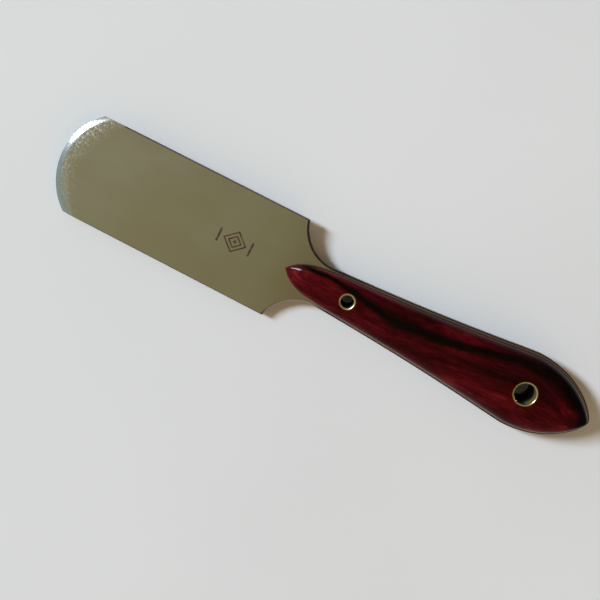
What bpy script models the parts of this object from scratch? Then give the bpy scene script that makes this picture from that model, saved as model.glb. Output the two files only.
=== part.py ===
"""A leather skiving knife: a flat steel blade with a rounded cutting edge and a full tang,
two wooden scales bonded to the tang, and two brass tubes through the handle.

The knife lies with its blade level. +X points to the cutting edge, +Z is up, and the origin
is below the middle of the knife, on the plane that its lower scale rests on.
"""

import math

import bmesh
import bpy
from mathutils import Vector

MM = 0.001

# Overall
LENGTH = 210.0
HANDLE_THICKNESS = 15.6

# Blade: half widths are from the centreline to one side
STEEL_THICKNESS = 2.5
EDGE_CORNER_SETBACK = 8.7
EDGE_CORNER_HALF = 18.55
SHOULDER_X = 16.2
SHOULDER_HALF = 19.05
NECK_X = 1.0
NECK_HALF = 7.65
NECK_FLARE = 0.05

# Ground facets, as setbacks from the cutting edge on the centreline and along the long sides
HONE_SETBACK = 2.1
HONE_SIDE_SETBACK = 3.3
HONE_DROP = 0.66
UPPER_BEVEL_SETBACK = 6.0
UPPER_BEVEL_SIDE_SETBACK = 8.0
UPPER_BEVEL_DROP = 0.14
LOWER_BEVEL_SETBACK = 10.0
LOWER_BEVEL_SIDE_SETBACK = 12.0

# Tang outline
WIDEST_X = -78.0
WIDEST_HALF = 14.4
SIDE_FRONT_PULL = 48.0
SIDE_REAR_PULL = 4.0
BUTT_FRONT_PULL = 17.0
BUTT_TIP_PULL = 3.0

# Scales
SEAM = 0.3
SCALE_MARGIN = 1.05
SCALE_NOSE_X = 16.3
NOSE_LENGTH = 22.0
NOSE_ANGLE = math.radians(52.5)
NOSE_TIP_PULL = 7.0
NOSE_REAR_PULL = 9.0
TIP_HALF = 0.3
NOSE_TIP_HEIGHT = 1.0
BUTT_TIP_HEIGHT = 1.8
NOSE_RUN = 16.0
BUTT_RUN = 22.0
NECK_RIDGE = 4.3
FULLEST_X = -72.0
CROWN_EXPONENT = 2.4

# Bond layers
BOND_CLEARANCE = 0.05
BOND_INSET = 0.15

# Brass tubes
FRONT_TUBE_X = -8.3
FRONT_TUBE_OUTER = 3.0
FRONT_TUBE_BORE = 2.25
REAR_TUBE_X = -78.3
REAR_TUBE_OUTER = 4.5
REAR_TUBE_BORE = 3.8
TUBE_LIP = 0.2
HOLE_CLEARANCE = 0.1

# Shading: faces that meet at more than this angle keep a crisp edge
SHARP_ANGLE = math.radians(30)

# Mesh density
EDGE_STEPS = 24
FILLET_STEPS = 10
SIDE_STEPS = 12
BUTT_STEPS = 9
NOSE_STEPS = 9
CROWN_STEPS = 14
ROUND_STEPS = 40

EDGE_X = LENGTH / 2
BUTT_X = -LENGTH / 2
MIDDLE_Z = HANDLE_THICKNESS / 2
STEEL_TOP = MIDDLE_Z + STEEL_THICKNESS / 2
STEEL_BOTTOM = MIDDLE_Z - STEEL_THICKNESS / 2
SCALE_BASE = STEEL_THICKNESS / 2 + SEAM
FULL_RIDGE = HANDLE_THICKNESS / 2 - SCALE_BASE
SCALE_BUTT_X = BUTT_X + SCALE_MARGIN


def clear_scene():
    for old in list(bpy.data.objects):
        bpy.data.objects.remove(old, do_unlink=True)


def make_material(name, colour, roughness, metallic):
    material = bpy.data.materials.new(name)
    material.use_nodes = True
    shader = material.node_tree.nodes["Principled BSDF"]
    shader.inputs["Base Color"].default_value = (*colour, 1.0)
    shader.inputs["Roughness"].default_value = roughness
    shader.inputs["Metallic"].default_value = metallic
    return material


def finish_object(name, shape, material, parent):
    """Turns a bmesh in millimetres into a named object in metres."""
    bmesh.ops.recalc_face_normals(shape, faces=shape.faces)
    bmesh.ops.scale(shape, vec=(MM, MM, MM), verts=shape.verts)
    mesh = bpy.data.meshes.new(name)
    shape.to_mesh(mesh)
    shape.free()
    mesh.materials.append(material)
    piece = bpy.data.objects.new(name, mesh)
    piece.parent = parent
    bpy.context.scene.collection.objects.link(piece)
    return piece


def smooth_round_faces(piece):
    piece.data.shade_smooth()
    piece.data.set_sharp_from_angle(angle=SHARP_ANGLE)


def bezier(start, start_pull, end_pull, end, steps):
    """Points of a cubic curve, both ends included."""
    points = []
    for i in range(steps + 1):
        t = i / steps
        s = 1 - t
        point = s**3 * start + 3 * s**2 * t * start_pull + 3 * s * t**2 * end_pull + t**3 * end
        points.append(point)
    return points


def mirrored_outline(half):
    """Adds the other side of a half outline. A point on the centreline stays single."""
    other = [Vector((p.x, -p.y)) for p in reversed(half) if p.y > 0]
    return half + other


def side_half(x):
    """Half width of the blade's straight long side at x."""
    corner_x = EDGE_X - EDGE_CORNER_SETBACK
    share = (x - SHOULDER_X) / (corner_x - SHOULDER_X)
    return SHOULDER_HALF + share * (EDGE_CORNER_HALF - SHOULDER_HALF)


def arc_across_blade(apex_x, side_x):
    """Circular arc from one long side to the other, with its furthest point on the centreline."""
    half = side_half(side_x)
    rise = apex_x - side_x
    radius = (half**2 + rise**2) / (2 * rise)
    reach = math.asin(half / radius)
    points = []
    for i in range(EDGE_STEPS + 1):
        angle = reach * (2 * i / EDGE_STEPS - 1)
        x = apex_x - radius + radius * math.cos(angle)
        points.append(Vector((x, radius * math.sin(angle))))
    return points


def shoulder_fillet():
    """Concave arc from the shoulder corner to the neck, tangent to the handle's side there."""
    shoulder = Vector((SHOULDER_X, SHOULDER_HALF))
    neck = Vector((NECK_X, NECK_HALF))
    outward = Vector((NECK_FLARE, 1.0)).normalized()
    span = shoulder - neck
    radius = span.length_squared / (2 * span.dot(outward))
    centre = neck + outward * radius
    first = math.atan2(shoulder.y - centre.y, shoulder.x - centre.x)
    last = math.atan2(neck.y - centre.y, neck.x - centre.x)
    points = []
    for i in range(FILLET_STEPS + 1):
        angle = first + (last - first) * i / FILLET_STEPS
        points.append(centre + radius * Vector((math.cos(angle), math.sin(angle))))
    return points


def tang_side():
    """The handle's flaring side, then its blunt-pointed butt, as far as the tip."""
    neck = Vector((NECK_X, NECK_HALF))
    widest = Vector((WIDEST_X, WIDEST_HALF))
    tip = Vector((BUTT_X, 0.0))
    flare = Vector((-1.0, NECK_FLARE)) * SIDE_FRONT_PULL
    side = bezier(neck, neck + flare, widest + Vector((SIDE_REAR_PULL, 0.0)), widest, SIDE_STEPS)
    widest_pull = widest - Vector((BUTT_FRONT_PULL, 0.0))
    tip_pull = Vector((BUTT_X, BUTT_TIP_PULL))
    butt = bezier(widest, widest_pull, tip_pull, tip, BUTT_STEPS)
    return side + butt[1:]


def inset_curve(points, distance):
    """Moves each point inwards along the curve's normal. The last point is left out."""
    moved = []
    for i in range(len(points) - 1):
        before = points[max(i - 1, 0)]
        along = (points[i + 1] - before).normalized()
        moved.append(points[i] + distance * Vector((-along.y, along.x)))
    return moved


def scale_side(extra_inset):
    """Half outline of a scale from its nose to its butt tip."""
    margin = SCALE_MARGIN + extra_inset
    nose_rear_x = SCALE_NOSE_X - NOSE_LENGTH
    inset = [p for p in inset_curve(tang_side(), margin) if p.x < nose_rear_x and p.y > TIP_HALF]
    flare = Vector((-1.0, NECK_FLARE))
    rear_half = NECK_HALF - margin + (NECK_X - nose_rear_x) * NECK_FLARE
    rear = Vector((nose_rear_x, rear_half))
    tip = Vector((SCALE_NOSE_X - extra_inset, TIP_HALF))
    spread = Vector((-math.cos(NOSE_ANGLE), math.sin(NOSE_ANGLE))) * NOSE_TIP_PULL
    nose = bezier(tip, tip + spread, rear - flare * NOSE_REAR_PULL, rear, NOSE_STEPS)
    butt_tip = Vector((SCALE_BUTT_X + extra_inset, TIP_HALF))
    return nose + inset + [butt_tip]


def round_off(share):
    """Rises steeply from 0 and levels off at 1, as a rounded end does."""
    left = 1 - min(max(share, 0.0), 1.0)
    return math.sqrt(1 - left**2)


def ridge_height(x):
    """Height of a scale above its flat base, on the centreline."""
    nose_share = (SCALE_NOSE_X - x) / NOSE_RUN
    butt_share = (x - SCALE_BUTT_X) / BUTT_RUN
    swell = min(max((NECK_X - x) / (NECK_X - FULLEST_X), 0.0), 1.0)
    swell = swell * swell * (3 - 2 * swell)
    level = NECK_RIDGE + (FULL_RIDGE - NECK_RIDGE) * swell
    nose = NOSE_TIP_HEIGHT + (level - NOSE_TIP_HEIGHT) * round_off(nose_share)
    return BUTT_TIP_HEIGHT + (nose - BUTT_TIP_HEIGHT) * round_off(butt_share)


def prism(outline, low, high):
    """A flat plate with this outline, between two heights."""
    shape = bmesh.new()
    bottom = [shape.verts.new((p.x, p.y, low)) for p in outline]
    top = [shape.verts.new((p.x, p.y, high)) for p in outline]
    shape.faces.new(bottom)
    shape.faces.new(top)
    for i in range(len(outline)):
        shape.faces.new((bottom[i - 1], bottom[i], top[i], top[i - 1]))
    return shape


def add_strip(shape, first, second):
    """Joins two rows of the same number of corners with four-sided faces."""
    for i in range(len(first) - 1):
        shape.faces.new((first[i], first[i + 1], second[i + 1], second[i]))


def blade_shape():
    """The flat blade and tang, with its ground edge: a hone strip and a shallow bevel above,
    a wider bevel below."""
    side_x = EDGE_X - EDGE_CORNER_SETBACK
    edge_arc = arc_across_blade(EDGE_X, side_x)
    hone_arc = arc_across_blade(EDGE_X - HONE_SETBACK, side_x - HONE_SIDE_SETBACK)
    upper_arc = arc_across_blade(EDGE_X - UPPER_BEVEL_SETBACK, side_x - UPPER_BEVEL_SIDE_SETBACK)
    lower_arc = arc_across_blade(EDGE_X - LOWER_BEVEL_SETBACK, side_x - LOWER_BEVEL_SIDE_SETBACK)
    hone_z = STEEL_TOP - UPPER_BEVEL_DROP
    edge_z = hone_z - HONE_DROP
    outline = mirrored_outline(shoulder_fillet() + tang_side()[1:])
    shape = bmesh.new()

    def corners(points, z):
        return [shape.verts.new((p.x, p.y, z)) for p in points]

    edge = corners(edge_arc, edge_z)
    hone = corners(hone_arc, hone_z)
    upper = corners(upper_arc, STEEL_TOP)
    lower = corners(lower_arc, STEEL_BOTTOM)
    top = corners(outline, STEEL_TOP)
    bottom = corners(outline, STEEL_BOTTOM)
    add_strip(shape, edge, hone)
    add_strip(shape, hone, upper)
    add_strip(shape, edge, lower)
    add_strip(shape, top, bottom)
    shape.faces.new(upper + top)
    shape.faces.new(lower + bottom)
    for end, shoulder in ((-1, 0), (0, -1)):
        wall = (edge[end], hone[end], upper[end], top[shoulder], bottom[shoulder], lower[end])
        shape.faces.new(wall)
    return shape


def scale_shape(side):
    """A crowned wooden slab. side is +1 above the tang and -1 below it."""
    shape = bmesh.new()
    rows = []
    for station in scale_side(0.0):
        height = ridge_height(station.x)
        row = []
        for k in range(CROWN_STEPS + 1):
            angle = math.pi * k / CROWN_STEPS
            across = math.copysign(abs(math.cos(angle)) ** (2 / CROWN_EXPONENT), math.cos(angle))
            rise = SCALE_BASE + height * abs(math.sin(angle)) ** (2 / CROWN_EXPONENT)
            row.append(shape.verts.new((station.x, station.y * across, MIDDLE_Z + side * rise)))
        row[0].co.z = MIDDLE_Z + side * SCALE_BASE
        row[-1].co.z = MIDDLE_Z + side * SCALE_BASE
        rows.append(row)
    for first, second in zip(rows, rows[1:]):
        add_strip(shape, first, second)
    shape.faces.new(rows[0])
    shape.faces.new(rows[-1])
    base = [row[0] for row in rows] + [row[-1] for row in reversed(rows)]
    shape.faces.new(base)
    return shape


def bond_shape(side):
    """The thin adhesive layer between the tang and one scale."""
    near = MIDDLE_Z + side * (STEEL_THICKNESS / 2 + BOND_CLEARANCE)
    far = MIDDLE_Z + side * (SCALE_BASE - BOND_CLEARANCE)
    outline = mirrored_outline(scale_side(BOND_INSET))
    return prism(outline, min(near, far), max(near, far))


def ring_points(radius, x, steps):
    """A circle round the point x on the centreline."""
    points = []
    for i in range(steps):
        angle = 2 * math.pi * i / steps
        points.append(Vector((x + radius * math.cos(angle), radius * math.sin(angle))))
    return points


def tube_shape(x, outer, bore):
    """A brass tube through the whole handle, cut flush with both scales, with eased lips."""
    reach = SCALE_BASE + ridge_height(x)
    profile = (
        (outer, reach - TUBE_LIP),
        (outer - TUBE_LIP, reach),
        (bore + TUBE_LIP, reach),
        (bore, reach - TUBE_LIP),
        (bore, TUBE_LIP - reach),
        (bore + TUBE_LIP, -reach),
        (outer - TUBE_LIP, -reach),
        (outer, TUBE_LIP - reach),
    )
    shape = bmesh.new()
    rings = []
    for radius, height in profile:
        circle = ring_points(radius, x, ROUND_STEPS)
        rings.append([shape.verts.new((p.x, p.y, MIDDLE_Z + height)) for p in circle])
    for i in range(len(rings)):
        first = rings[i - 1]
        second = rings[i]
        add_strip(shape, first + first[:1], second + second[:1])
    return shape


def make_drill(name, x, radius, parent, material):
    """A hidden cutter that runs right through the handle."""
    outline = ring_points(radius, x, ROUND_STEPS)
    drill = finish_object(name, prism(outline, -MIDDLE_Z, 3 * MIDDLE_Z), material, parent)
    drill.hide_render = True
    drill.display_type = "WIRE"
    return drill


def drill_holes(piece, drills):
    for drill in drills:
        cut = piece.modifiers.new(drill.name, "BOOLEAN")
        cut.operation = "DIFFERENCE"
        cut.solver = "EXACT"
        cut.object = drill


def build():
    clear_scene()
    steel = make_material("polished_steel", (0.52, 0.50, 0.44), 0.22, 1.0)
    wood = make_material("dark_red_wood", (0.11, 0.012, 0.012), 0.25, 0.0)
    brass = make_material("brass", (0.80, 0.62, 0.32), 0.25, 1.0)
    adhesive = make_material("dark_adhesive", (0.02, 0.012, 0.01), 0.5, 0.0)
    knife = bpy.data.objects.new("skiving_knife", None)
    bpy.context.scene.collection.objects.link(knife)

    front_hole = FRONT_TUBE_OUTER + HOLE_CLEARANCE
    rear_hole = REAR_TUBE_OUTER + HOLE_CLEARANCE
    drills = (
        make_drill("front_drill", FRONT_TUBE_X, front_hole, knife, steel),
        make_drill("rear_drill", REAR_TUBE_X, rear_hole, knife, steel),
    )
    scales = (
        finish_object("upper_scale", scale_shape(1), wood, knife),
        finish_object("lower_scale", scale_shape(-1), wood, knife),
    )
    flat_pieces = (
        finish_object("blade", blade_shape(), steel, knife),
        finish_object("upper_scale_bond", bond_shape(1), adhesive, knife),
        finish_object("lower_scale_bond", bond_shape(-1), adhesive, knife),
    )
    for piece in scales + flat_pieces:
        drill_holes(piece, drills)
    front_tube = tube_shape(FRONT_TUBE_X, FRONT_TUBE_OUTER, FRONT_TUBE_BORE)
    rear_tube = tube_shape(REAR_TUBE_X, REAR_TUBE_OUTER, REAR_TUBE_BORE)
    tubes = (
        finish_object("front_tube_rivet", front_tube, brass, knife),
        finish_object("rear_lanyard_tube", rear_tube, brass, knife),
    )
    for piece in scales + tubes:
        smooth_round_faces(piece)


build()
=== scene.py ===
"""The looks of a leather skiving knife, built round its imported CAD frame.

The knife lies on its lower scale and on the heel of its lower bevel, on a plain pale floor.
Its cutting edge points to +X, and soft window light comes from beyond that edge.
Lengths are in millimetres until a mesh is written, which is in metres.
"""

import math

import bmesh
import bpy
import numpy as np
from mathutils import Matrix, Vector


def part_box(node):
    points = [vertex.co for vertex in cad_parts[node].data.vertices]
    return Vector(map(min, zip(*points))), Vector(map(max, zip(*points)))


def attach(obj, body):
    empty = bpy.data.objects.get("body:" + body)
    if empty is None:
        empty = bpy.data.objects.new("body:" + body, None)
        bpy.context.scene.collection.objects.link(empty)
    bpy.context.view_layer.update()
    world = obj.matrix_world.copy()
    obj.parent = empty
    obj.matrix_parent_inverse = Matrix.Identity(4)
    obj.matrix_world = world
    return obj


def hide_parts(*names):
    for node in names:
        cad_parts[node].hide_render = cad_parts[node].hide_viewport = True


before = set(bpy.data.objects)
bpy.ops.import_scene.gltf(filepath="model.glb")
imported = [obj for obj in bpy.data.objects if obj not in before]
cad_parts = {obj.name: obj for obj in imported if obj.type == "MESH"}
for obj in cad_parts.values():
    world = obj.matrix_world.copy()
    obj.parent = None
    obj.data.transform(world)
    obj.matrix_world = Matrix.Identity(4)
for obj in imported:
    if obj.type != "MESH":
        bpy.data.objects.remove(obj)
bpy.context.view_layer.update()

MM = 0.001


def box_mm(node):
    low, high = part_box(node)
    return low / MM, high / MM


# Places and sizes that the frame gives
BLADE_LOW, BLADE_HIGH = box_mm("blade")
UPPER_LOW, UPPER_HIGH = box_mm("upper_scale")
FRONT_LOW, FRONT_HIGH = box_mm("front_tube_rivet")
REAR_LOW, REAR_HIGH = box_mm("rear_lanyard_tube")
EDGE_X = BLADE_HIGH.x
BUTT_X = BLADE_LOW.x
SHOULDER_HALF = BLADE_HIGH.y
STEEL_TOP = BLADE_HIGH.z
STEEL_BOTTOM = BLADE_LOW.z
MIDDLE_Z = (STEEL_TOP + STEEL_BOTTOM) / 2
SCALE_NOSE_X = UPPER_HIGH.x
SCALE_BUTT_X = UPPER_LOW.x
SCALE_BASE = UPPER_LOW.z - MIDDLE_Z
FULL_RIDGE = UPPER_HIGH.z - UPPER_LOW.z

# A hole's cutter is twice as long as the handle is thick
CUTTER_LENGTH = 4 * MIDDLE_Z

# Blade outline: the cutting edge falls back by EDGE_SAG from the centreline to its corners
EDGE_SAG = 8.7
EDGE_CORNER_X = EDGE_X - EDGE_SAG
EDGE_CORNER_HALF = 18.55
SHOULDER_X = 16.2
NECK = Vector((1.0, 7.65))
NECK_FLARE = 0.05
WIDEST = Vector((-78.0, 14.4))
SIDE_PULLS = (48.0, 4.0)
BUTT_PULLS = (17.0, 3.0)

# Ground facets: setbacks from the cutting edge on the centreline and along the long sides
HONE_SETBACKS = (1.9, 3.0)
UPPER_SETBACKS = (6.0, 8.0)
LOWER_SETBACKS = (10.0, 12.0)

# How far the hone strip and the bevel behind it drop towards the edge, and how much the strip
# is rounded: 0 would leave it flat
HONE_DROP = 0.50
HONE_CURL = 0.50
UPPER_DROP = 0.06

# Eased edges: a width for the concave shoulders, and shares of it for the tang and the long sides
EASED_EDGE = 0.75
TANG_EASING = 0.6
EASING_RUN = 18.0
SIDE_EASING = 0.35

# Scales: outline
SCALE_MARGIN = 1.05
NOSE_LENGTH = 22.0
NOSE_ANGLE = math.radians(52.5)
NOSE_PULLS = (7.0, 9.0)
TIP_HALF = 0.16

# Scales: height along the centreline, and how full the cross sections are
NOSE_TIP_HEIGHT = 0.9
BUTT_TIP_HEIGHT = 1.7
NOSE_RUN = 14.0
NOSE_ROUNDNESS = 1.1
BUTT_RUN = 22.0
NECK_RIDGE = 4.3
FULLEST_X = -72.0
CROWN_EXPONENT = 2.7
NOSE_FLATTENING = 2.4

# How far the adhesive squeezes out past a scale
BOND_BEAD = 0.2

# Brass tubes: bore radii, and lips that stand in a fine seam, lie flat and then roll into the bore
FRONT_BORE = 2.25
REAR_BORE = 3.8
LIP_RISE = 0.08
LIP_SEAM = 0.12
LIP_FLAT = 0.35
LIP_ROLL = 0.50

# Etched ornament on the blade
ORNAMENT_X = 36.5
ORNAMENT_HALF = Vector((4.6, 4.2))
ORNAMENT_INNER_SHARE = 0.6
ORNAMENT_LINE = 0.75
ORNAMENT_BAR_GAP = 1.6
ORNAMENT_BAR_SHARE = 0.62
ORNAMENT_HEIGHT = 0.015

# Wood: the dark vein's path and half width along the scale
VEIN_PATH = ((-104, -1), (-96, -6), (-80, -9.8), (-66, -7.7), (-50, -4.7), (-36, -2.8),
             (-26, -2.0), (-15, -3.4), (-2, -4.0), (17, -4.6))
VEIN_WIDTH = ((-104, 3.2), (-92, 4.4), (-72, 2.6), (-50, 2.4), (-30, 2.9), (-12, 1.7), (17, 0.9))

# Wood: how much brighter its red is along the scale, in thousandths of the colour ramp
REDNESS = ((-104, 60), (-92, 80), (-82, 20), (-66, 0), (-50, 50), (-30, 35), (-12, 90), (17, 150))

# Mesh density
EDGE_STEPS = 96
HONE_RINGS = 6
BEVEL_RINGS = 6
FILLET_STEPS = 32
SIDE_STEPS = 64
BUTT_STEPS = 72
NOSE_STEPS = 32
CROWN_STEPS = 48
ROUND_STEPS = 96
LIP_STEPS = 7
BORE_STEPS = 6
EASING_SEGMENTS = 3

# Material slots: the blade's hone strip and its outline, and the wall of a tube's bore
HONE_SLOT = 1
OUTLINE_SLOT = 2
BORE_SLOT = 1

# Smallest angle between two faces that shows as a sharp edge
BLADE_SHARP_DEGREES = 5.0
TUBE_SHARP_DEGREES = 50.0
SHARP_DEGREES = 35.0

# Camera
CAMERA_PLACE = Vector((13.8, -52.4, 334.1)) * MM
CAMERA_TARGET = Vector((6.6, 7.9, 9.05)) * MM
IMAGE_UP = Vector((0.456, -0.8732, -0.1722))
CAMERA_LENS = 55.8
CAMERA_CLIP_START = 0.01

# Window, in metres: it stands beyond the cutting edge
WINDOW_AZIMUTH = math.radians(-8.5)
WINDOW_ELEVATION = math.radians(45.5)
WINDOW_DISTANCE = 5.0
WINDOW_SIZE = (0.75, 1.55)
WINDOW_POWER = 253.0
WINDOW_COLOUR = (0.78, 0.87, 1.0)

# Warm light that the room scatters into the shadows, in metres: it comes from beyond the butt
FILL_PLACE = Vector((-3.2, 0.8, 2.4))
FILL_SIZE = (4.0, 4.0)
FILL_POWER = 38.0
FILL_COLOUR = (1.0, 0.42, 0.16)

# Room round the knife: colours from the horizon to the zenith, a green-grey patch that the +Y half
# of the hone strip mirrors, and the side that is brighter
ROOM_COLOURS = (
    (0.00, (0.40, 0.385, 0.35)),
    (0.30, (0.33, 0.315, 0.27)),
    (0.60, (0.265, 0.250, 0.180)),
    (0.85, (0.245, 0.216, 0.105)),
)
GLOW_COLOUR = (0.185, 0.212, 0.180, 1.0)
GLOW_DIRECTION = (0.62, 0.33, 0.71)
GLOW_REACH = (0.91, 0.97)
ROOM_BRIGHT_SIDE = (0.85, 0.50, 0.0)
ROOM_CONTRAST = 0.70

# Floor: level far away, and leaning under the knife, which rests on the front of its lower scale
# and on one corner of its lower bevel
FLOOR_PITCH = 0.033
FLOOR_ROLL = 0.106
FLOOR_LIFT = 1.69
FLOOR_FLAT_RADIUS = 150.0
FLOOR_LEVEL_RADIUS = 700.0
FLOOR_RADIUS = 6000.0
FLAT_RINGS = 4
SLOPE_RINGS = 24


# ---------------------------------------------------------------- outlines


def bezier(start, start_pull, end_pull, end, steps):
    """Points of a cubic curve, both ends included."""
    points = []
    for i in range(steps + 1):
        t = i / steps
        s = 1 - t
        point = s**3 * start + 3 * s**2 * t * start_pull + 3 * s * t**2 * end_pull + t**3 * end
        points.append(point)
    return points


def side_half(x):
    """Half width of the blade's straight long side at x."""
    share = (x - SHOULDER_X) / (EDGE_CORNER_X - SHOULDER_X)
    return SHOULDER_HALF + share * (EDGE_CORNER_HALF - SHOULDER_HALF)


def arc_across_blade(setbacks):
    """Circular arc from one long side to the other, with its furthest point on the centreline."""
    apex_x = EDGE_X - setbacks[0]
    side_x = EDGE_CORNER_X - setbacks[1]
    half = side_half(side_x)
    rise = apex_x - side_x
    radius = (half**2 + rise**2) / (2 * rise)
    reach = math.asin(half / radius)
    points = []
    for i in range(EDGE_STEPS + 1):
        angle = reach * (2 * i / EDGE_STEPS - 1)
        x = apex_x - radius + radius * math.cos(angle)
        points.append(Vector((x, radius * math.sin(angle))))
    return points


def shoulder_fillet():
    """Concave arc from the shoulder corner to the neck, tangent to the handle's side there."""
    shoulder = Vector((SHOULDER_X, SHOULDER_HALF))
    outward = Vector((NECK_FLARE, 1.0)).normalized()
    span = shoulder - NECK
    radius = span.length_squared / (2 * span.dot(outward))
    centre = NECK + outward * radius
    first = math.atan2(shoulder.y - centre.y, shoulder.x - centre.x)
    last = math.atan2(NECK.y - centre.y, NECK.x - centre.x)
    points = []
    for i in range(FILLET_STEPS + 1):
        angle = first + (last - first) * i / FILLET_STEPS
        points.append(centre + radius * Vector((math.cos(angle), math.sin(angle))))
    return points


def tang_side():
    """The handle's flaring side, then its blunt-pointed butt, as far as the tip."""
    tip = Vector((BUTT_X, 0.0))
    flare = Vector((-1.0, NECK_FLARE)) * SIDE_PULLS[0]
    side = bezier(NECK, NECK + flare, WIDEST + Vector((SIDE_PULLS[1], 0.0)), WIDEST, SIDE_STEPS)
    widest_pull = WIDEST - Vector((BUTT_PULLS[0], 0.0))
    butt = bezier(WIDEST, widest_pull, Vector((BUTT_X, BUTT_PULLS[1])), tip, BUTT_STEPS)
    return side + butt[1:]


def inset_curve(points, distance):
    """Moves each point inwards along the curve's normal. The last point is left out."""
    moved = []
    for i in range(len(points) - 1):
        before = points[max(i - 1, 0)]
        along = (points[i + 1] - before).normalized()
        moved.append(points[i] + distance * Vector((-along.y, along.x)))
    return moved


def scale_side(extra_inset):
    """Half outline of a scale from its nose to its butt tip."""
    margin = SCALE_MARGIN + extra_inset
    nose_rear_x = SCALE_NOSE_X - NOSE_LENGTH
    inset = [p for p in inset_curve(tang_side(), margin) if p.x < nose_rear_x and p.y > TIP_HALF]
    flare = Vector((-1.0, NECK_FLARE))
    rear = Vector((nose_rear_x, NECK.y - margin + (NECK.x - nose_rear_x) * NECK_FLARE))
    tip = Vector((SCALE_NOSE_X - extra_inset, TIP_HALF))
    spread = Vector((-math.cos(NOSE_ANGLE), math.sin(NOSE_ANGLE))) * NOSE_PULLS[0]
    nose = bezier(tip, tip + spread, rear - flare * NOSE_PULLS[1], rear, NOSE_STEPS)
    return nose + inset + [Vector((SCALE_BUTT_X + extra_inset, TIP_HALF))]


def clamped(share):
    return min(max(share, 0.0), 1.0)


def smooth_step(share):
    """Rises gently from 0, and comes gently to rest at 1."""
    share = clamped(share)
    return share * share * (3 - 2 * share)


def round_off(share, roundness=2.0):
    """Rises from 0 and levels off at 1, as a rounded end does. A roundness of 2 gives an
    ellipse's end, and a lower one a more pointed end."""
    left = 1 - clamped(share)
    return (1 - left**2) ** (1 / roundness)


def ridge_height(x):
    """Height of a scale above its flat base, on the centreline."""
    swell = smooth_step((NECK.x - x) / (NECK.x - FULLEST_X))
    level = NECK_RIDGE + (FULL_RIDGE - NECK_RIDGE) * swell
    nose_share = round_off((SCALE_NOSE_X - x) / NOSE_RUN, NOSE_ROUNDNESS)
    nose = NOSE_TIP_HEIGHT + (level - NOSE_TIP_HEIGHT) * nose_share
    return BUTT_TIP_HEIGHT + (nose - BUTT_TIP_HEIGHT) * round_off((x - SCALE_BUTT_X) / BUTT_RUN)


SCALE_HALF_OUTLINE = scale_side(0.0)
OUTLINE_X = [p.x for p in reversed(SCALE_HALF_OUTLINE)]
OUTLINE_Y = [p.y for p in reversed(SCALE_HALF_OUTLINE)]


def crown_exponent(x):
    """2 would give elliptical cross sections. The crown is flatter than that, most at the nose."""
    nearness = clamped(1 - (SCALE_NOSE_X - x) / NOSE_RUN)
    return CROWN_EXPONENT + NOSE_FLATTENING * nearness


def crown_height(x, y):
    """Height of a scale above its flat base at a point inside its outline."""
    half = float(np.interp(x, OUTLINE_X, OUTLINE_Y))
    share = min(abs(y) / half, 1.0)
    exponent = crown_exponent(x)
    return ridge_height(x) * (1 - share**exponent) ** (1 / exponent)


# ---------------------------------------------------------------- meshes


def add_strip(shape, first, second):
    """Joins two rows of the same number of corners with four-sided faces."""
    faces = []
    for i in range(len(first) - 1):
        faces.append(shape.faces.new((first[i], first[i + 1], second[i + 1], second[i])))
    return faces


def finish_piece(name, shape, materials, sharp_degrees=SHARP_DEGREES):
    """Writes a bmesh in millimetres as a smooth-shaded piece of the knife."""
    bmesh.ops.recalc_face_normals(shape, faces=shape.faces)
    bmesh.ops.scale(shape, vec=(MM, MM, MM), verts=shape.verts)
    mesh = bpy.data.meshes.new(name)
    shape.to_mesh(mesh)
    shape.free()
    for material in materials:
        mesh.materials.append(material)
    mesh.shade_smooth()
    mesh.set_sharp_from_angle(angle=math.radians(sharp_degrees))
    piece = bpy.data.objects.new(name, mesh)
    bpy.context.scene.collection.objects.link(piece)
    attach(piece, "root")
    return piece


def half_circle(centre_x, radius):
    """From the circle's rear point to its front point, over the side with +Y."""
    points = []
    steps = ROUND_STEPS // 2
    for i in range(steps + 1):
        angle = math.pi * (1 - i / steps)
        points.append(Vector((centre_x + radius * math.cos(angle), radius * math.sin(angle))))
    return points


def mirrored(points):
    return [Vector((p.x, -p.y)) for p in points]


def tube_holes():
    """Centre and radius of each drilled hole, from the butt forwards."""
    rear = ((REAR_LOW.x + REAR_HIGH.x) / 2, (REAR_HIGH.x - REAR_LOW.x) / 2)
    front = ((FRONT_LOW.x + FRONT_HIGH.x) / 2, (FRONT_HIGH.x - FRONT_LOW.x) / 2)
    return rear, front


def drilled_plate_faces(shape, corner_at, front_point, half):
    """Two flat faces that meet on the centreline, with half of each hole cut from both.
    half runs from just past front_point to the tip of the plate's butt."""
    centreline = []
    for centre_x, radius in tube_holes():
        centreline += half_circle(centre_x, radius)
    for side in (1, -1):
        outer = half if side > 0 else mirrored(half)
        inner = centreline if side > 0 else mirrored(centreline)
        shape.faces.new([corner_at(p) for p in outer + inner + [front_point]])


def corner_maker(shape, z):
    """Makes each corner at height z once, however often its point is asked for."""
    made = {}

    def corner_at(point):
        key = (round(point.x, 5), round(point.y, 5))
        if key not in made:
            made[key] = shape.verts.new((point.x, point.y, z))
        return made[key]

    return corner_at


def wall_holes(shape, low_at, high_at):
    """Closes each drilled hole's wall between two levels."""
    for centre_x, radius in tube_holes():
        upper_side = half_circle(centre_x, radius)
        ring = upper_side + mirrored(upper_side)[-2::-1]
        add_strip(shape, [low_at(p) for p in ring], [high_at(p) for p in ring])


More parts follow.
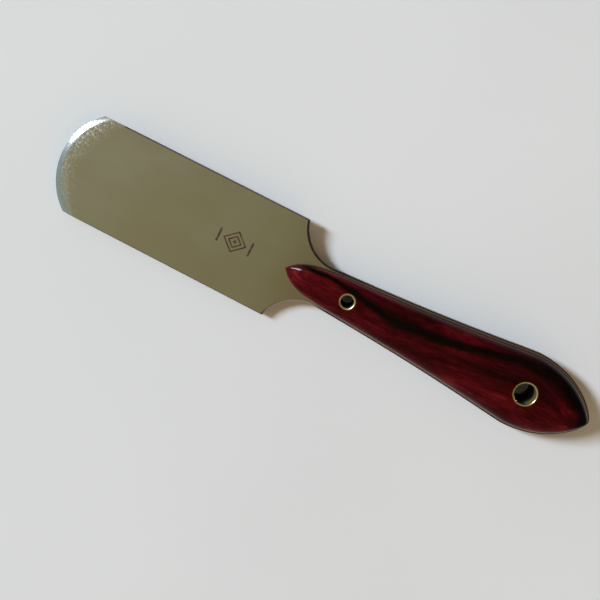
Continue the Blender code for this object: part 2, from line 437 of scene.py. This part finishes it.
def ground_rows(shape):
    """Rows of corners across the blade's upper side: the hone strip's, from the cutting edge
    back, and the convex bevel's, as far as the last row before the flat."""

    def row_at(setbacks, drop):
        return [shape.verts.new((p.x, p.y, STEEL_TOP - drop)) for p in arc_across_blade(setbacks)]

    hone_rows = []
    for i in range(HONE_RINGS):
        left = 1 - i / HONE_RINGS
        drop = UPPER_DROP + HONE_DROP * left * (1 - HONE_CURL * (1 - left))
        hone_rows.append(row_at([a * i / HONE_RINGS for a in HONE_SETBACKS], drop))
    bevel_rows = []
    for i in range(BEVEL_RINGS):
        share = i / BEVEL_RINGS
        setbacks = [a + (b - a) * share for a, b in zip(HONE_SETBACKS, UPPER_SETBACKS)]
        bevel_rows.append(row_at(setbacks, UPPER_DROP * (1 - share) ** 2))
    hone_rows.append(bevel_rows[0])
    return hone_rows, bevel_rows


def weigh_edges(shape, pairs, weight_at):
    """Sets how far the edge between each two corners is eased, as a share of EASED_EDGE."""
    weights = shape.edges.layers.float["bevel_weight_edge"]
    for first, second in pairs:
        shape.edges.get((first, second))[weights] = weight_at(second.co.x)


def outline_easing(x):
    """Full round the shoulders, and less along the tang."""
    return 1 - (1 - TANG_EASING) * clamped((NECK.x - x) / EASING_RUN)


def ease_edges(piece):
    easing = piece.modifiers.new("eased_edges", "BEVEL")
    easing.limit_method = "WEIGHT"
    easing.width = EASED_EDGE * MM
    easing.segments = EASING_SEGMENTS
    easing.use_clamp_overlap = False
    easing.harden_normals = True
    easing.material = OUTLINE_SLOT


def blade_piece(materials):
    """Blade and tang. Above, a polished hone strip and then a convex bevel that fades into the
    flat; below, one wider flat bevel. The outline's other edges are eased."""
    shape = bmesh.new()
    shape.edges.layers.float.new("bevel_weight_edge")
    top_at = corner_maker(shape, STEEL_TOP)
    bottom_at = corner_maker(shape, STEEL_BOTTOM)
    hone_rows, bevel_rows = ground_rows(shape)
    upper_arc = arc_across_blade(UPPER_SETBACKS)
    lower_arc = arc_across_blade(LOWER_SETBACKS)
    bevel_rows.append([top_at(p) for p in upper_arc])
    lower_row = [bottom_at(p) for p in lower_arc]
    for first, second in zip(hone_rows, hone_rows[1:]):
        for face in add_strip(shape, first, second):
            face.material_index = HONE_SLOT
    for first, second in zip(bevel_rows, bevel_rows[1:]):
        add_strip(shape, first, second)
    add_strip(shape, hone_rows[0], lower_row)

    half = shoulder_fillet() + tang_side()[1:]
    middle = EDGE_STEPS // 2
    for corner_at, arc in ((top_at, upper_arc), (bottom_at, lower_arc)):
        drilled_plate_faces(shape, corner_at, arc[middle], arc[middle + 1 :] + half)
    outline = half + mirrored(half)[-2::-1]
    top = [top_at(p) for p in outline]
    bottom = [bottom_at(p) for p in outline]
    walls = add_strip(shape, top, bottom)
    wall_holes(shape, bottom_at, top_at)
    side_edges = []
    for end, shoulder in ((0, -1), (-1, 0)):
        wall = [row[end] for row in hone_rows + bevel_rows[1:]]
        wall += [top[shoulder], bottom[shoulder], lower_row[end]]
        walls.append(shape.faces.new(wall))
        side_edges.append((bevel_rows[-1][end], top[shoulder]))
        side_edges.append((lower_row[end], bottom[shoulder]))
        side_edges.append((top[shoulder], bottom[shoulder]))
    for wall in walls:
        wall.material_index = OUTLINE_SLOT
    weigh_edges(shape, side_edges, lambda x: SIDE_EASING)
    for ring in (top, bottom):
        weigh_edges(shape, zip(ring, ring[1:]), outline_easing)
    loose = [e for e in shape.edges if not e.link_faces]
    bmesh.ops.delete(shape, geom=loose, context="EDGES")

    piece = finish_piece("knife_blade", shape, materials, BLADE_SHARP_DEGREES)
    ease_edges(piece)
    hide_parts("blade")


def crowned_slab(side):
    """A crowned slab before drilling. side is +1 above the tang and -1 below it."""
    shape = bmesh.new()
    rows = []
    for station in SCALE_HALF_OUTLINE:
        height = ridge_height(station.x)
        power = 2 / crown_exponent(station.x)
        row = []
        for k in range(CROWN_STEPS + 1):
            angle = math.pi * k / CROWN_STEPS
            across = math.copysign(abs(math.cos(angle)) ** power, math.cos(angle))
            rise = 0.0
            if 0 < k < CROWN_STEPS:
                rise = height * math.sin(angle) ** power
            z = MIDDLE_Z + side * (SCALE_BASE + rise)
            row.append(shape.verts.new((station.x, station.y * across, z)))
        rows.append(row)
    for first, second in zip(rows, rows[1:]):
        add_strip(shape, first, second)
    shape.faces.new(rows[0])
    shape.faces.new(rows[-1])
    shape.faces.new([row[0] for row in rows] + [row[-1] for row in reversed(rows)])
    return shape


def drill_through(piece):
    """Cuts both tube holes through a piece, and leaves no modifier or cutter behind."""
    cutters = []
    for centre_x, radius in tube_holes():
        cutter_shape = bmesh.new()
        place = Matrix.Translation(Vector((centre_x, 0.0, MIDDLE_Z)) * MM)
        bmesh.ops.create_cone(
            cutter_shape, cap_ends=True, segments=ROUND_STEPS, radius1=radius * MM,
            radius2=radius * MM, depth=CUTTER_LENGTH * MM, matrix=place,
        )
        mesh = bpy.data.meshes.new("cutter")
        cutter_shape.to_mesh(mesh)
        cutter_shape.free()
        cutter = bpy.data.objects.new("cutter", mesh)
        bpy.context.scene.collection.objects.link(cutter)
        cutters.append(cutter)
        cut = piece.modifiers.new("hole", "BOOLEAN")
        cut.operation = "DIFFERENCE"
        cut.solver = "EXACT"
        cut.object = cutter
    bpy.context.view_layer.update()
    graph = bpy.context.evaluated_depsgraph_get()
    drilled = bpy.data.meshes.new_from_object(piece.evaluated_get(graph))
    piece.modifiers.clear()
    piece.data = drilled
    for cutter in cutters:
        bpy.data.objects.remove(cutter)


def scale_piece(name, node, side, material):
    piece = finish_piece(name, crowned_slab(side), [material])
    drill_through(piece)
    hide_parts(node)
    return piece


def bond_piece(name, node, side, material):
    """The adhesive that fills the seam between the tang and a scale."""
    shape = bmesh.new()
    near_at = corner_maker(shape, MIDDLE_Z + side * (STEEL_TOP - MIDDLE_Z))
    far_at = corner_maker(shape, MIDDLE_Z + side * SCALE_BASE)
    half = scale_side(-BOND_BEAD)
    front_point = Vector((half[0].x, 0.0))
    half = [front_point, *half, Vector((half[-1].x, 0.0))]
    for corner_at in (near_at, far_at):
        drilled_plate_faces(shape, corner_at, front_point, half[1:])
    outline = half + mirrored(half)[-2::-1]
    add_strip(shape, [near_at(p) for p in outline], [far_at(p) for p in outline])
    wall_holes(shape, near_at, far_at)
    piece = finish_piece(name, shape, [material])
    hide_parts(node)
    return piece


def tube_piece(name, node, low, high, bore, materials):
    """A brass tube whose rounded lips follow the crown of the scales. The second material is
    for the wall of its bore."""
    centre_x = (low.x + high.x) / 2
    outer = (high.x - low.x) / 2
    wall_middle = (outer + bore) / 2
    roll_width = (outer - bore) * (1 - LIP_FLAT)
    seam_radius = outer - LIP_SEAM
    seam_floor = LIP_RISE - LIP_ROLL
    lip = [(outer, seam_floor), (seam_radius, seam_floor), (seam_radius, LIP_RISE)]
    for i in range(LIP_STEPS + 1):
        angle = math.pi / 2 * i / LIP_STEPS
        radius = bore + roll_width * (1 - math.sin(angle))
        lip.append((radius, LIP_RISE - LIP_ROLL * (1 - math.cos(angle))))
    bore_start = len(lip) - 1
    shape = bmesh.new()
    columns = []
    for i in range(ROUND_STEPS):
        angle = 2 * math.pi * i / ROUND_STEPS
        turn = Vector((math.cos(angle), math.sin(angle)))
        crown = crown_height(centre_x + wall_middle * turn.x, wall_middle * turn.y)
        top = SCALE_BASE + min(crown, FULL_RIDGE - LIP_RISE)
        profile = [(radius, top + rise) for radius, rise in lip]
        for step in range(1, BORE_STEPS):
            profile.append((bore, top * (1 - 2 * step / BORE_STEPS)))
        profile += [(radius, -top - rise) for radius, rise in reversed(lip)]
        column = []
        for radius, height in profile:
            place = (centre_x + radius * turn.x, radius * turn.y, MIDDLE_Z + height)
            column.append(shape.verts.new(place))
        columns.append(column)
    for i in range(ROUND_STEPS):
        first = columns[i - 1]
        second = columns[i]
        faces = add_strip(shape, first + first[:1], second + second[:1])
        for face in faces[bore_start : bore_start + BORE_STEPS]:
            face.material_index = BORE_SLOT
    piece = finish_piece(name, shape, materials, TUBE_SHARP_DEGREES)
    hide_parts(node)
    return piece


def lozenge(half_x, half_y):
    return [Vector((half_x, 0)), Vector((0, half_y)), Vector((-half_x, 0)), Vector((0, -half_y))]


def ornament_piece(material):
    """A plain etched ornament: two nested lozenges with a bar on each side."""
    shape = bmesh.new()
    low = STEEL_TOP - ORNAMENT_HEIGHT
    high = STEEL_TOP + ORNAMENT_HEIGHT

    def ring(outer, inner):
        levels = []
        for points, z in ((outer, low), (outer, high), (inner, high), (inner, low)):
            levels.append([shape.verts.new((ORNAMENT_X + p.x, p.y, z)) for p in points])
        for i in range(len(levels)):
            first = levels[i - 1]
            second = levels[i]
            add_strip(shape, first + first[:1], second + second[:1])

    def solid(points):
        bottom = [shape.verts.new((ORNAMENT_X + p.x, p.y, low)) for p in points]
        top = [shape.verts.new((ORNAMENT_X + p.x, p.y, high)) for p in points]
        shape.faces.new(bottom)
        shape.faces.new(top)
        add_strip(shape, bottom + bottom[:1], top + top[:1])

    for share in (1.0, ORNAMENT_INNER_SHARE):
        outer = ORNAMENT_HALF * share
        inner = outer - Vector((ORNAMENT_LINE, ORNAMENT_LINE))
        ring(lozenge(*outer), lozenge(*inner))
    solid(lozenge(ORNAMENT_LINE, ORNAMENT_LINE))
    for side in (1, -1):
        middle = side * (ORNAMENT_HALF.x + ORNAMENT_BAR_GAP)
        half_x = ORNAMENT_LINE / 2
        half_y = ORNAMENT_HALF.y * ORNAMENT_BAR_SHARE
        corners = ((half_x, half_y), (-half_x, half_y), (-half_x, -half_y), (half_x, -half_y))
        solid([Vector((middle + x, y)) for x, y in corners])
    finish_piece("etched_ornament", shape, [material])


# ---------------------------------------------------------------- materials


class Nodes:
    """A material's node tree, with short ways to add and join nodes."""

    def __init__(self, name):
        self.material = bpy.data.materials.new(name)
        self.material.use_nodes = True
        self.tree = self.material.node_tree
        self.shader = self.tree.nodes["Principled BSDF"]
        self.place = self.add("ShaderNodeTexCoord").outputs["Object"]

    def add(self, kind, **settings):
        node = self.tree.nodes.new(kind)
        for name, value in settings.items():
            setattr(node, name, value)
        return node

    def link(self, source, target):
        self.tree.links.new(source, target)

    def fill(self, socket, value):
        if isinstance(value, bpy.types.NodeSocket):
            self.link(value, socket)
        else:
            socket.default_value = value

    def set(self, **values):
        for name, value in values.items():
            self.fill(self.shader.inputs[name.replace("_", " ")], value)

    def stretched(self, scale, place=None):
        """A place, or else the object's own coordinates, times a scale for each axis."""
        node = self.add("ShaderNodeVectorMath", operation="MULTIPLY")
        self.link(place or self.place, node.inputs[0])
        node.inputs[1].default_value = scale
        return node.outputs[0]

    def warped(self, direction, amount):
        """The object's own coordinates, moved along a direction by an amount that varies."""
        push = self.add("ShaderNodeVectorMath", operation="SCALE")
        push.inputs[0].default_value = direction
        self.link(amount, push.inputs["Scale"])
        node = self.add("ShaderNodeVectorMath", operation="ADD")
        self.link(self.place, node.inputs[0])
        self.link(push.outputs[0], node.inputs[1])
        return node.outputs[0]

    def curve(self, x, points):
        """A smooth line through points in millimetres. Takes metres and gives metres."""
        first, last = points[0][0], points[-1][0]
        lowest = min(p[1] for p in points)
        highest = max(p[1] for p in points)
        node = self.add("ShaderNodeFloatCurve")
        line = node.mapping.curves[0]
        while len(line.points) < len(points):
            line.points.new(0.5, 0.5)
        for knot, (along, across) in zip(line.points, points):
            share = (across - lowest) / (highest - lowest)
            knot.location = ((along - first) / (last - first), share)
        node.mapping.update()
        self.link(self.span(x, first * MM, last * MM), node.inputs["Value"])
        return self.span(node.outputs["Value"], 0.0, 1.0, lowest * MM, highest * MM)

    def noise(self, scale, detail=3.0, roughness=0.5, distortion=0.0, place=None):
        """Cloudy noise from 0 to 1. scale is in cells per metre for each axis."""
        node = self.add("ShaderNodeTexNoise")
        self.link(self.stretched(scale, place), node.inputs["Vector"])
        node.inputs["Scale"].default_value = 1.0
        node.inputs["Detail"].default_value = detail
        node.inputs["Roughness"].default_value = roughness
        node.inputs["Distortion"].default_value = distortion
        return node.outputs["Fac"]

    def math(self, operation, first, second=0.0):
        node = self.add("ShaderNodeMath", operation=operation)
        self.fill(node.inputs[0], first)
        self.fill(node.inputs[1], second)
        return node.outputs[0]

    def span(self, value, low, high, to_low=0.0, to_high=1.0, smooth=False):
        """Maps value from low..high to another range, and stops at its ends."""
        node = self.add("ShaderNodeMapRange")
        node.interpolation_type = "SMOOTHSTEP" if smooth else "LINEAR"
        self.fill(node.inputs["Value"], value)
        node.inputs["From Min"].default_value = low
        node.inputs["From Max"].default_value = high
        node.inputs["To Min"].default_value = to_low
        node.inputs["To Max"].default_value = to_high
        return node.outputs["Result"]

    def ramp(self, value, stops):
        """Colours between stops, each a position and a linear colour."""
        node = self.add("ShaderNodeValToRGB")
        self.fill(node.inputs["Fac"], value)
        elements = node.color_ramp.elements
        while len(elements) < len(stops):
            elements.new(0.5)
        for element, (position, colour) in zip(elements, stops):
            element.position = position
            element.color = (*colour, 1.0)
        return node.outputs["Color"]

    def mix(self, share, first, second):
        node = self.add("ShaderNodeMix", data_type="RGBA")
        self.fill(node.inputs["Factor"], share)
        self.fill(node.inputs["A"], first)
        self.fill(node.inputs["B"], second)
        return node.outputs["Result"]

    def bump(self, height, strength, distance):
        node = self.add("ShaderNodeBump")
        node.inputs["Strength"].default_value = strength
        node.inputs["Distance"].default_value = distance
        self.link(height, node.inputs["Height"])
        return node.outputs["Normal"]

    def axes(self, vector=None):
        """X, Y and Z of a vector, or else of the object's own coordinates."""
        node = self.add("ShaderNodeSeparateXYZ")
        self.link(vector or self.place, node.inputs[0])
        return node.outputs


def steel_material():
    """Satin steel: a soft mirror with faint lengthwise polishing lines. Behind the edge, hazy hand
    polish roughens it and whitens it in specks, more towards -Y, where the whitening is partly a
    painted highlight. A bluish stripe on the +Y half of the edge is a painted reflection. It is
    darker and browner from the shoulders back; round the tang it is rougher, with a painted red
    reflection."""
    m = Nodes("satin_steel")
    x, y, _ = m.axes()
    lines = m.noise((60, 2600, 900), detail=4.0, roughness=0.6)
    clouds = m.noise((38, 55, 40), detail=3.0)
    specks = m.noise((1500, 1500, 1500), detail=3.0, roughness=0.7)
    sag_per_square = EDGE_SAG / (EDGE_CORNER_HALF**2 * MM)
    sag = m.math("MULTIPLY", m.math("MULTIPLY", y, y), sag_per_square)
    behind = m.math("SUBTRACT", m.math("SUBTRACT", EDGE_X * MM, sag), x)
    # Hazy polish behind the edge roughens the steel and whitens it in specks; the whitening,
    # weighted towards -Y, is partly a painted highlight
    haze_and_painted_glint = m.span(behind, 0.0030, 0.0095, 1.0, 0.0, smooth=True)
    haze_and_painted_glint = m.math("MULTIPLY", haze_and_painted_glint, m.span(y, -0.010, 0.014, 1.0, 0.35))
    haze_and_painted_glint = m.math("MULTIPLY", haze_and_painted_glint, m.span(specks, 0.48, 0.62))
    # A bluish stripe on the +Y half behind the hone strip: a painted reflection
    painted_reflection_band = m.math("MULTIPLY", m.span(behind, 0.0040, 0.0047, 1.0, 0.0), m.span(y, -0.002, 0.004))
    painted_reflection_band = m.math("MULTIPLY", painted_reflection_band, m.span(clouds, 0.35, 0.65, 0.45, 0.80))
    neck = m.span(x, 0.026, 0.006, smooth=True)
    # Round the tang the steel is rougher, and its red-brown tint is a painted reflection of the
    # wood
    tang = m.span(x, 0.002, -0.010, smooth=True)
    tone = m.math("ADD", m.math("MULTIPLY", lines, 0.35), m.math("MULTIPLY", clouds, 0.65))
    colour = m.ramp(tone, ((0.3, (0.59, 0.560, 0.530)), (0.7, (0.60, 0.610, 0.580))))
    colour = m.mix(painted_reflection_band, colour, (0.69, 0.79, 0.86, 1))
    colour = m.mix(m.math("MULTIPLY", haze_and_painted_glint, 0.8), colour, (0.92, 0.94, 0.95, 1))
    colour = m.mix(neck, colour, (0.495, 0.456, 0.394, 1))
    m.set(Base_Color=m.mix(tang, colour, (0.43, 0.275, 0.245, 1)))
    m.set(Metallic=1.0)
    roughness = m.math("ADD", m.span(clouds, 0.3, 0.7, 0.17, 0.21), m.math("MULTIPLY", haze_and_painted_glint, 0.10))
    m.set(Roughness=m.math("ADD", roughness, m.math("MULTIPLY", tang, 0.14)))
    m.set(Normal=m.bump(lines, 0.08, 0.00002))
    return m.material


def edge_material():
    """The steel's sides and eased edges: rougher than the faces, dark brown as painted shade, and
    lighter in the hollow of the +Y shoulder as a painted highlight."""
    m = Nodes("painted_shade_edge_steel")
    x, y, _ = m.axes()
    clouds = m.noise((120, 120, 120), detail=4.0)
    # Dark brown all round the outline: painted shade
    brown = m.ramp(clouds, ((0.3, (0.060, 0.034, 0.026)), (0.7, (0.100, 0.060, 0.045))))
    # Lighter in the hollow of the +Y shoulder: a painted highlight
    painted_highlight_mask = m.math("MULTIPLY", m.span(x, -0.004, 0.003), m.span(x, 0.0168, 0.0158))
    painted_highlight_mask = m.math("MULTIPLY", painted_highlight_mask, m.span(y, 0.004, 0.007, 0.0, 0.8))
    m.set(Base_Color=m.mix(painted_highlight_mask, brown, (0.55, 0.45, 0.37, 1)))
    m.set(Metallic=1.0, Roughness=m.span(clouds, 0.3, 0.7, 0.30, 0.42))
    m.set(Normal=m.bump(m.noise((3000, 3000, 200)), 0.1, 0.00001))
    return m.material


def hone_material():
    """The strip along the cutting edge, nearly a mirror."""
    m = Nodes("honed_steel")
    lines = m.noise((500, 3000, 500), detail=3.0)
    m.set(Base_Color=m.ramp(lines, ((0.3, (0.70, 0.74, 0.80)), (0.7, (0.76, 0.80, 0.86)))))
    m.set(Metallic=1.0, Roughness=m.span(lines, 0.3, 0.7, 0.10, 0.14))
    m.set(Normal=m.bump(lines, 0.03, 0.00001))
    return m.material


def wood_material():
    """Polished dark red heartwood: long grain in reds that follows a near-black vein, which runs
    from nose to butt on the side with -Y, and short open pores."""
    m = Nodes("dark_red_heartwood")
    x, y, _ = m.axes()
    vein_y = m.curve(x, VEIN_PATH)
    along = m.warped((0.0, -0.45, 0.0), vein_y)
    broad = m.noise((30, 175, 175), detail=6.0, roughness=0.66, distortion=0.8, place=along)
    fine = m.noise((260, 1150, 1150), detail=4.0, roughness=0.7, place=along)
    grain = m.math("ADD", m.math("MULTIPLY", broad, 0.72), m.math("MULTIPLY", fine, 0.28))
    glow = m.math("ADD", m.curve(x, REDNESS), m.span(y, -0.004, 0.010, -0.03, 0.05))
    red = m.ramp(
        m.math("ADD", grain, glow),
        (
            (0.36, (0.0040, 0.0001, 0.0003)),
            (0.45, (0.0140, 0.0002, 0.0010)),
            (0.54, (0.0360, 0.0004, 0.0020)),
            (0.63, (0.0760, 0.0020, 0.0045)),
            (0.74, (0.1550, 0.0120, 0.0120)),
        ),
    )
    drift = m.math("MULTIPLY", m.math("SUBTRACT", m.noise((60, 90, 90)), 0.5), 0.0035)
    offset = m.math("ABSOLUTE", m.math("SUBTRACT", m.math("SUBTRACT", y, vein_y), drift))
    thick = m.curve(x, VEIN_WIDTH)
    vein = m.span(m.math("DIVIDE", offset, thick), 0.25, 1.15, 1.0, 0.0, smooth=True)
    vein = m.math("MULTIPLY", vein, m.span(fine, 0.30, 0.52, 0.8, 1.0))
    # Near-black at the butt's tip, more on its -Y side: painted shade
    slanted = m.math("ADD", x, m.math("MULTIPLY", y, 0.4))
    tip = m.span(slanted, -0.1010, -0.0955, 0.95, 0.0, smooth=True)
    colour = m.mix(m.math("MAXIMUM", vein, tip), red, (0.0016, 0.0003, 0.0004, 1))
    pores = m.noise((300, 3000, 3000), detail=1.0, place=along)
    pore_mask = m.span(pores, 0.66, 0.74)
    colour = m.mix(m.math("MULTIPLY", pore_mask, 0.5), colour, (0.003, 0.0004, 0.0005, 1))
    polish = m.span(x, 0.0, 0.010, 1.0, 0.8)
    m.set(Base_Color=colour)
    m.set(Roughness=m.math("MULTIPLY", m.span(fine, 0.3, 0.7, 0.10, 0.18), polish))
    m.shader.inputs["IOR"].default_value = 1.45
    m.shader.inputs["Specular IOR Level"].default_value = 0.14
    height = m.math("SUBTRACT", m.math("MULTIPLY", fine, 0.3), pore_mask)
    height = m.math("MULTIPLY", height, m.span(x, 0.002, 0.009, 1.0, 0.12))
    m.set(Normal=m.bump(height, 0.07, 0.00003))
    return m.material


def lip_brass_material():
    """Brass that is polished flush with the wood."""
    m = Nodes("brass_lip")
    stain = m.noise((300, 300, 300), detail=4.0)
    m.set(Base_Color=m.ramp(stain, ((0.3, (0.72, 0.55, 0.30)), (0.65, (0.88, 0.73, 0.46)))))
    m.set(Metallic=1.0, Roughness=m.span(stain, 0.3, 0.7, 0.22, 0.32))
    m.set(Normal=m.bump(m.noise((2500, 2500, 400)), 0.1, 0.00001))
    return m.material


def bore_brass_material():
    """Brass inside a bore, with painted light and shade: darker and then black deeper down, and
    lighter on the wall that faces +X, nearest the butt."""
    m = Nodes("brass_bore")
    _, _, z = m.axes()
    facing_x, _, _ = m.axes(m.add("ShaderNodeNewGeometry").outputs["Normal"])
    # Lighter on the wall that faces +X, towards the window, and near-black on the walls that face
    # away: painted light and shade
    painted_lit_side = m.span(facing_x, 0.25, 0.80, smooth=True)
    from_middle = m.math("ABSOLUTE", m.math("SUBTRACT", z, MIDDLE_Z * MM))
    stain = m.noise((400, 400, 400), detail=4.0)
    painted_shade_brass = m.ramp(stain, ((0.3, (0.010, 0.006, 0.003)), (0.65, (0.018, 0.011, 0.005))))
    pale = m.ramp(stain, ((0.3, (0.150, 0.105, 0.040)), (0.65, (0.210, 0.150, 0.062))))
    # Black towards the middle of the bore and brass towards its mouths: painted shade; it also
    # sets the roughness
    free_of_painted_shade = m.span(from_middle, 0.0022, 0.0066, smooth=True)
    brass = m.mix(painted_lit_side, painted_shade_brass, pale)
    m.set(Base_Color=m.mix(free_of_painted_shade, (0.003, 0.002, 0.002, 1), brass))
    m.set(Roughness=m.span(free_of_painted_shade, 0.0, 1.0, 0.8, 0.5))
    m.shader.inputs["Specular IOR Level"].default_value = 0.12
    return m.material


def adhesive_material():
    """Dark cured adhesive, lighter on the +Y side of the handle as a painted highlight."""
    m = Nodes("dark_adhesive")
    _, y, _ = m.axes()
    grit = m.noise((1500, 1500, 1500))
    dark = m.ramp(grit, ((0.3, (0.030, 0.022, 0.018)), (0.7, (0.055, 0.042, 0.034))))
    # Lighter on the +Y side: a painted highlight along the seam
    pale_painted_highlight = m.span(y, -0.001, 0.003, 0.0, 0.9)
    m.set(Base_Color=m.mix(pale_painted_highlight, dark, (0.30, 0.27, 0.235, 1)))
    m.set(Roughness=m.span(grit, 0.3, 0.7, 0.4, 0.6))
    return m.material


def etched_material():
    """Steel darkened by etching, and lighter in places where wear has thinned it."""
    m = Nodes("etched_steel")
    wear = m.noise((700, 700, 700), detail=4.0)
    m.set(Base_Color=m.ramp(wear, ((0.35, (0.045, 0.020, 0.012)), (0.75, (0.150, 0.085, 0.050)))))
    m.set(Metallic=0.6, Roughness=m.span(wear, 0.3, 0.7, 0.5, 0.7))
    return m.material


def floor_material():
    m = Nodes("pale_floor")
    clouds = m.noise((6, 6, 6), detail=2.0)
    m.set(Base_Color=m.ramp(clouds, ((0.3, (0.715, 0.735, 0.735)), (0.7, (0.755, 0.775, 0.775)))))
    m.set(Roughness=m.span(clouds, 0.3, 0.7, 0.80, 0.88))
    return m.material


# ---------------------------------------------------------------- stage


def floor_height(x, y):
    """Height of the floor in millimetres, in the knife's frame."""
    lean = FLOOR_LIFT + FLOOR_PITCH * x + FLOOR_ROLL * y
    reach = math.hypot(x, y)
    share = (reach - FLOOR_FLAT_RADIUS) / (FLOOR_LEVEL_RADIUS - FLOOR_FLAT_RADIUS)
    return lean * (1 - smooth_step(share))


def make_floor(material):
    """A wide disc: a leaning middle, a stretch that brings it level, and one ring beyond."""
    shape = bmesh.new()
    rings = []
    slope_width = FLOOR_LEVEL_RADIUS - FLOOR_FLAT_RADIUS
    radii = [FLOOR_FLAT_RADIUS * i / FLAT_RINGS for i in range(1, FLAT_RINGS + 1)]
    radii += [FLOOR_FLAT_RADIUS + slope_width * i / SLOPE_RINGS for i in range(1, SLOPE_RINGS + 1)]
    radii.append(FLOOR_RADIUS)
    for radius in radii:
        ring = []
        for i in range(ROUND_STEPS):
            angle = 2 * math.pi * i / ROUND_STEPS
            x = radius * math.cos(angle)
            y = radius * math.sin(angle)
            ring.append(shape.verts.new(Vector((x, y, floor_height(x, y))) * MM))
        rings.append(ring)
    shape.faces.new(rings[0])
    for first, second in zip(rings, rings[1:]):
        add_strip(shape, first + first[:1], second + second[:1])
    bmesh.ops.recalc_face_normals(shape, faces=shape.faces)
    mesh = bpy.data.meshes.new("floor")
    shape.to_mesh(mesh)
    shape.free()
    mesh.materials.append(material)
    mesh.shade_smooth()
    floor = bpy.data.objects.new("floor", mesh)
    bpy.context.scene.collection.objects.link(floor)


def aim(thing, place, target, up):
    """Puts a camera or light at place, looking at target, with up towards the picture's top."""
    back = (place - target).normalized()
    right = up.cross(back).normalized()
    upwards = back.cross(right)
    turn = Matrix((right, upwards, back)).transposed()
    thing.matrix_world = Matrix.Translation(place) @ turn.to_4x4()


def make_camera():
    data = bpy.data.cameras.new("camera")
    data.lens = CAMERA_LENS
    data.clip_start = CAMERA_CLIP_START
    camera = bpy.data.objects.new("camera", data)
    bpy.context.scene.collection.objects.link(camera)
    aim(camera, CAMERA_PLACE, CAMERA_TARGET, IMAGE_UP)
    bpy.context.scene.camera = camera


def area_light(name, place, size, power, colour):
    """A rectangular light that faces the knife, in metres."""
    data = bpy.data.lights.new(name, "AREA")
    data.shape = "RECTANGLE"
    data.size, data.size_y = size
    data.energy = power
    data.color = colour
    light = bpy.data.objects.new(name, data)
    bpy.context.scene.collection.objects.link(light)
    aim(light, place, Vector((0, 0, 0)), Vector((0, 0, 1)))
    return light


def make_lights():
    """The window, and a broad fill that the metal doesn't mirror."""
    across = WINDOW_DISTANCE * math.cos(WINDOW_ELEVATION)
    place = Vector((
        across * math.cos(WINDOW_AZIMUTH),
        across * math.sin(WINDOW_AZIMUTH),
        WINDOW_DISTANCE * math.sin(WINDOW_ELEVATION),
    ))
    area_light("window", place, WINDOW_SIZE, WINDOW_POWER, WINDOW_COLOUR)
    fill = area_light("fill", FILL_PLACE, FILL_SIZE, FILL_POWER, FILL_COLOUR)
    fill.visible_glossy = False
    fill.visible_camera = False


def make_world():
    """A dim olive ceiling over a paler horizon. It is brighter towards the window and towards +Y,
    and darker on the sides across from them."""
    world = bpy.data.worlds.new("room")
    bpy.context.scene.world = world
    world.use_nodes = True
    tree = world.node_tree
    background = tree.nodes["Background"]
    place = tree.nodes.new("ShaderNodeTexCoord")
    split = tree.nodes.new("ShaderNodeSeparateXYZ")
    tree.links.new(place.outputs["Generated"], split.inputs[0])
    ramp = tree.nodes.new("ShaderNodeValToRGB")
    elements = ramp.color_ramp.elements
    while len(elements) < len(ROOM_COLOURS):
        elements.new(0.5)
    for element, (position, colour) in zip(elements, ROOM_COLOURS):
        element.position = position
        element.color = (*colour, 1.0)
    tree.links.new(split.outputs["Z"], ramp.inputs["Fac"])

    def towards(direction, low, high, to_low, to_high):
        """Maps how far a place in the sky lies towards a direction to a range."""
        dot = tree.nodes.new("ShaderNodeVectorMath")
        dot.operation = "DOT_PRODUCT"
        tree.links.new(place.outputs["Generated"], dot.inputs[0])
        dot.inputs[1].default_value = direction
        level = tree.nodes.new("ShaderNodeMapRange")
        tree.links.new(dot.outputs["Value"], level.inputs["Value"])
        level.inputs["From Min"].default_value = low
        level.inputs["From Max"].default_value = high
        level.inputs["To Min"].default_value = to_low
        level.inputs["To Max"].default_value = to_high
        return level.outputs["Result"]

    glow = tree.nodes.new("ShaderNodeMix")
    glow.data_type = "RGBA"
    tree.links.new(towards(GLOW_DIRECTION, *GLOW_REACH, 0.0, 1.0), glow.inputs["Factor"])
    tree.links.new(ramp.outputs["Color"], glow.inputs["A"])
    glow.inputs["B"].default_value = GLOW_COLOUR
    tree.links.new(glow.outputs["Result"], background.inputs["Color"])
    strength = towards(ROOM_BRIGHT_SIDE, -1.0, 1.0, 1 - ROOM_CONTRAST, 1 + ROOM_CONTRAST)
    tree.links.new(strength, background.inputs["Strength"])


# ---------------------------------------------------------------- the knife

make_camera()
make_lights()
make_world()
make_floor(floor_material())
bpy.context.scene.view_settings.view_transform = "Standard"

steel = steel_material()
wood = wood_material()
adhesive = adhesive_material()
lip_brass = lip_brass_material()
bore_brass = bore_brass_material()

blade_piece([steel, hone_material(), edge_material()])
ornament_piece(etched_material())
scale_piece("upper_wood_scale", "upper_scale", 1, wood)
scale_piece("lower_wood_scale", "lower_scale", -1, wood)
bond_piece("upper_bond", "upper_scale_bond", 1, adhesive)
bond_piece("lower_bond", "lower_scale_bond", -1, adhesive)
tubes = (
    ("front_brass_tube", "front_tube_rivet", FRONT_LOW, FRONT_HIGH, FRONT_BORE),
    ("rear_brass_tube", "rear_lanyard_tube", REAR_LOW, REAR_HIGH, REAR_BORE),
)
for name, node, low, high, bore in tubes:
    tube_piece(name, node, low, high, bore, [lip_brass, bore_brass])
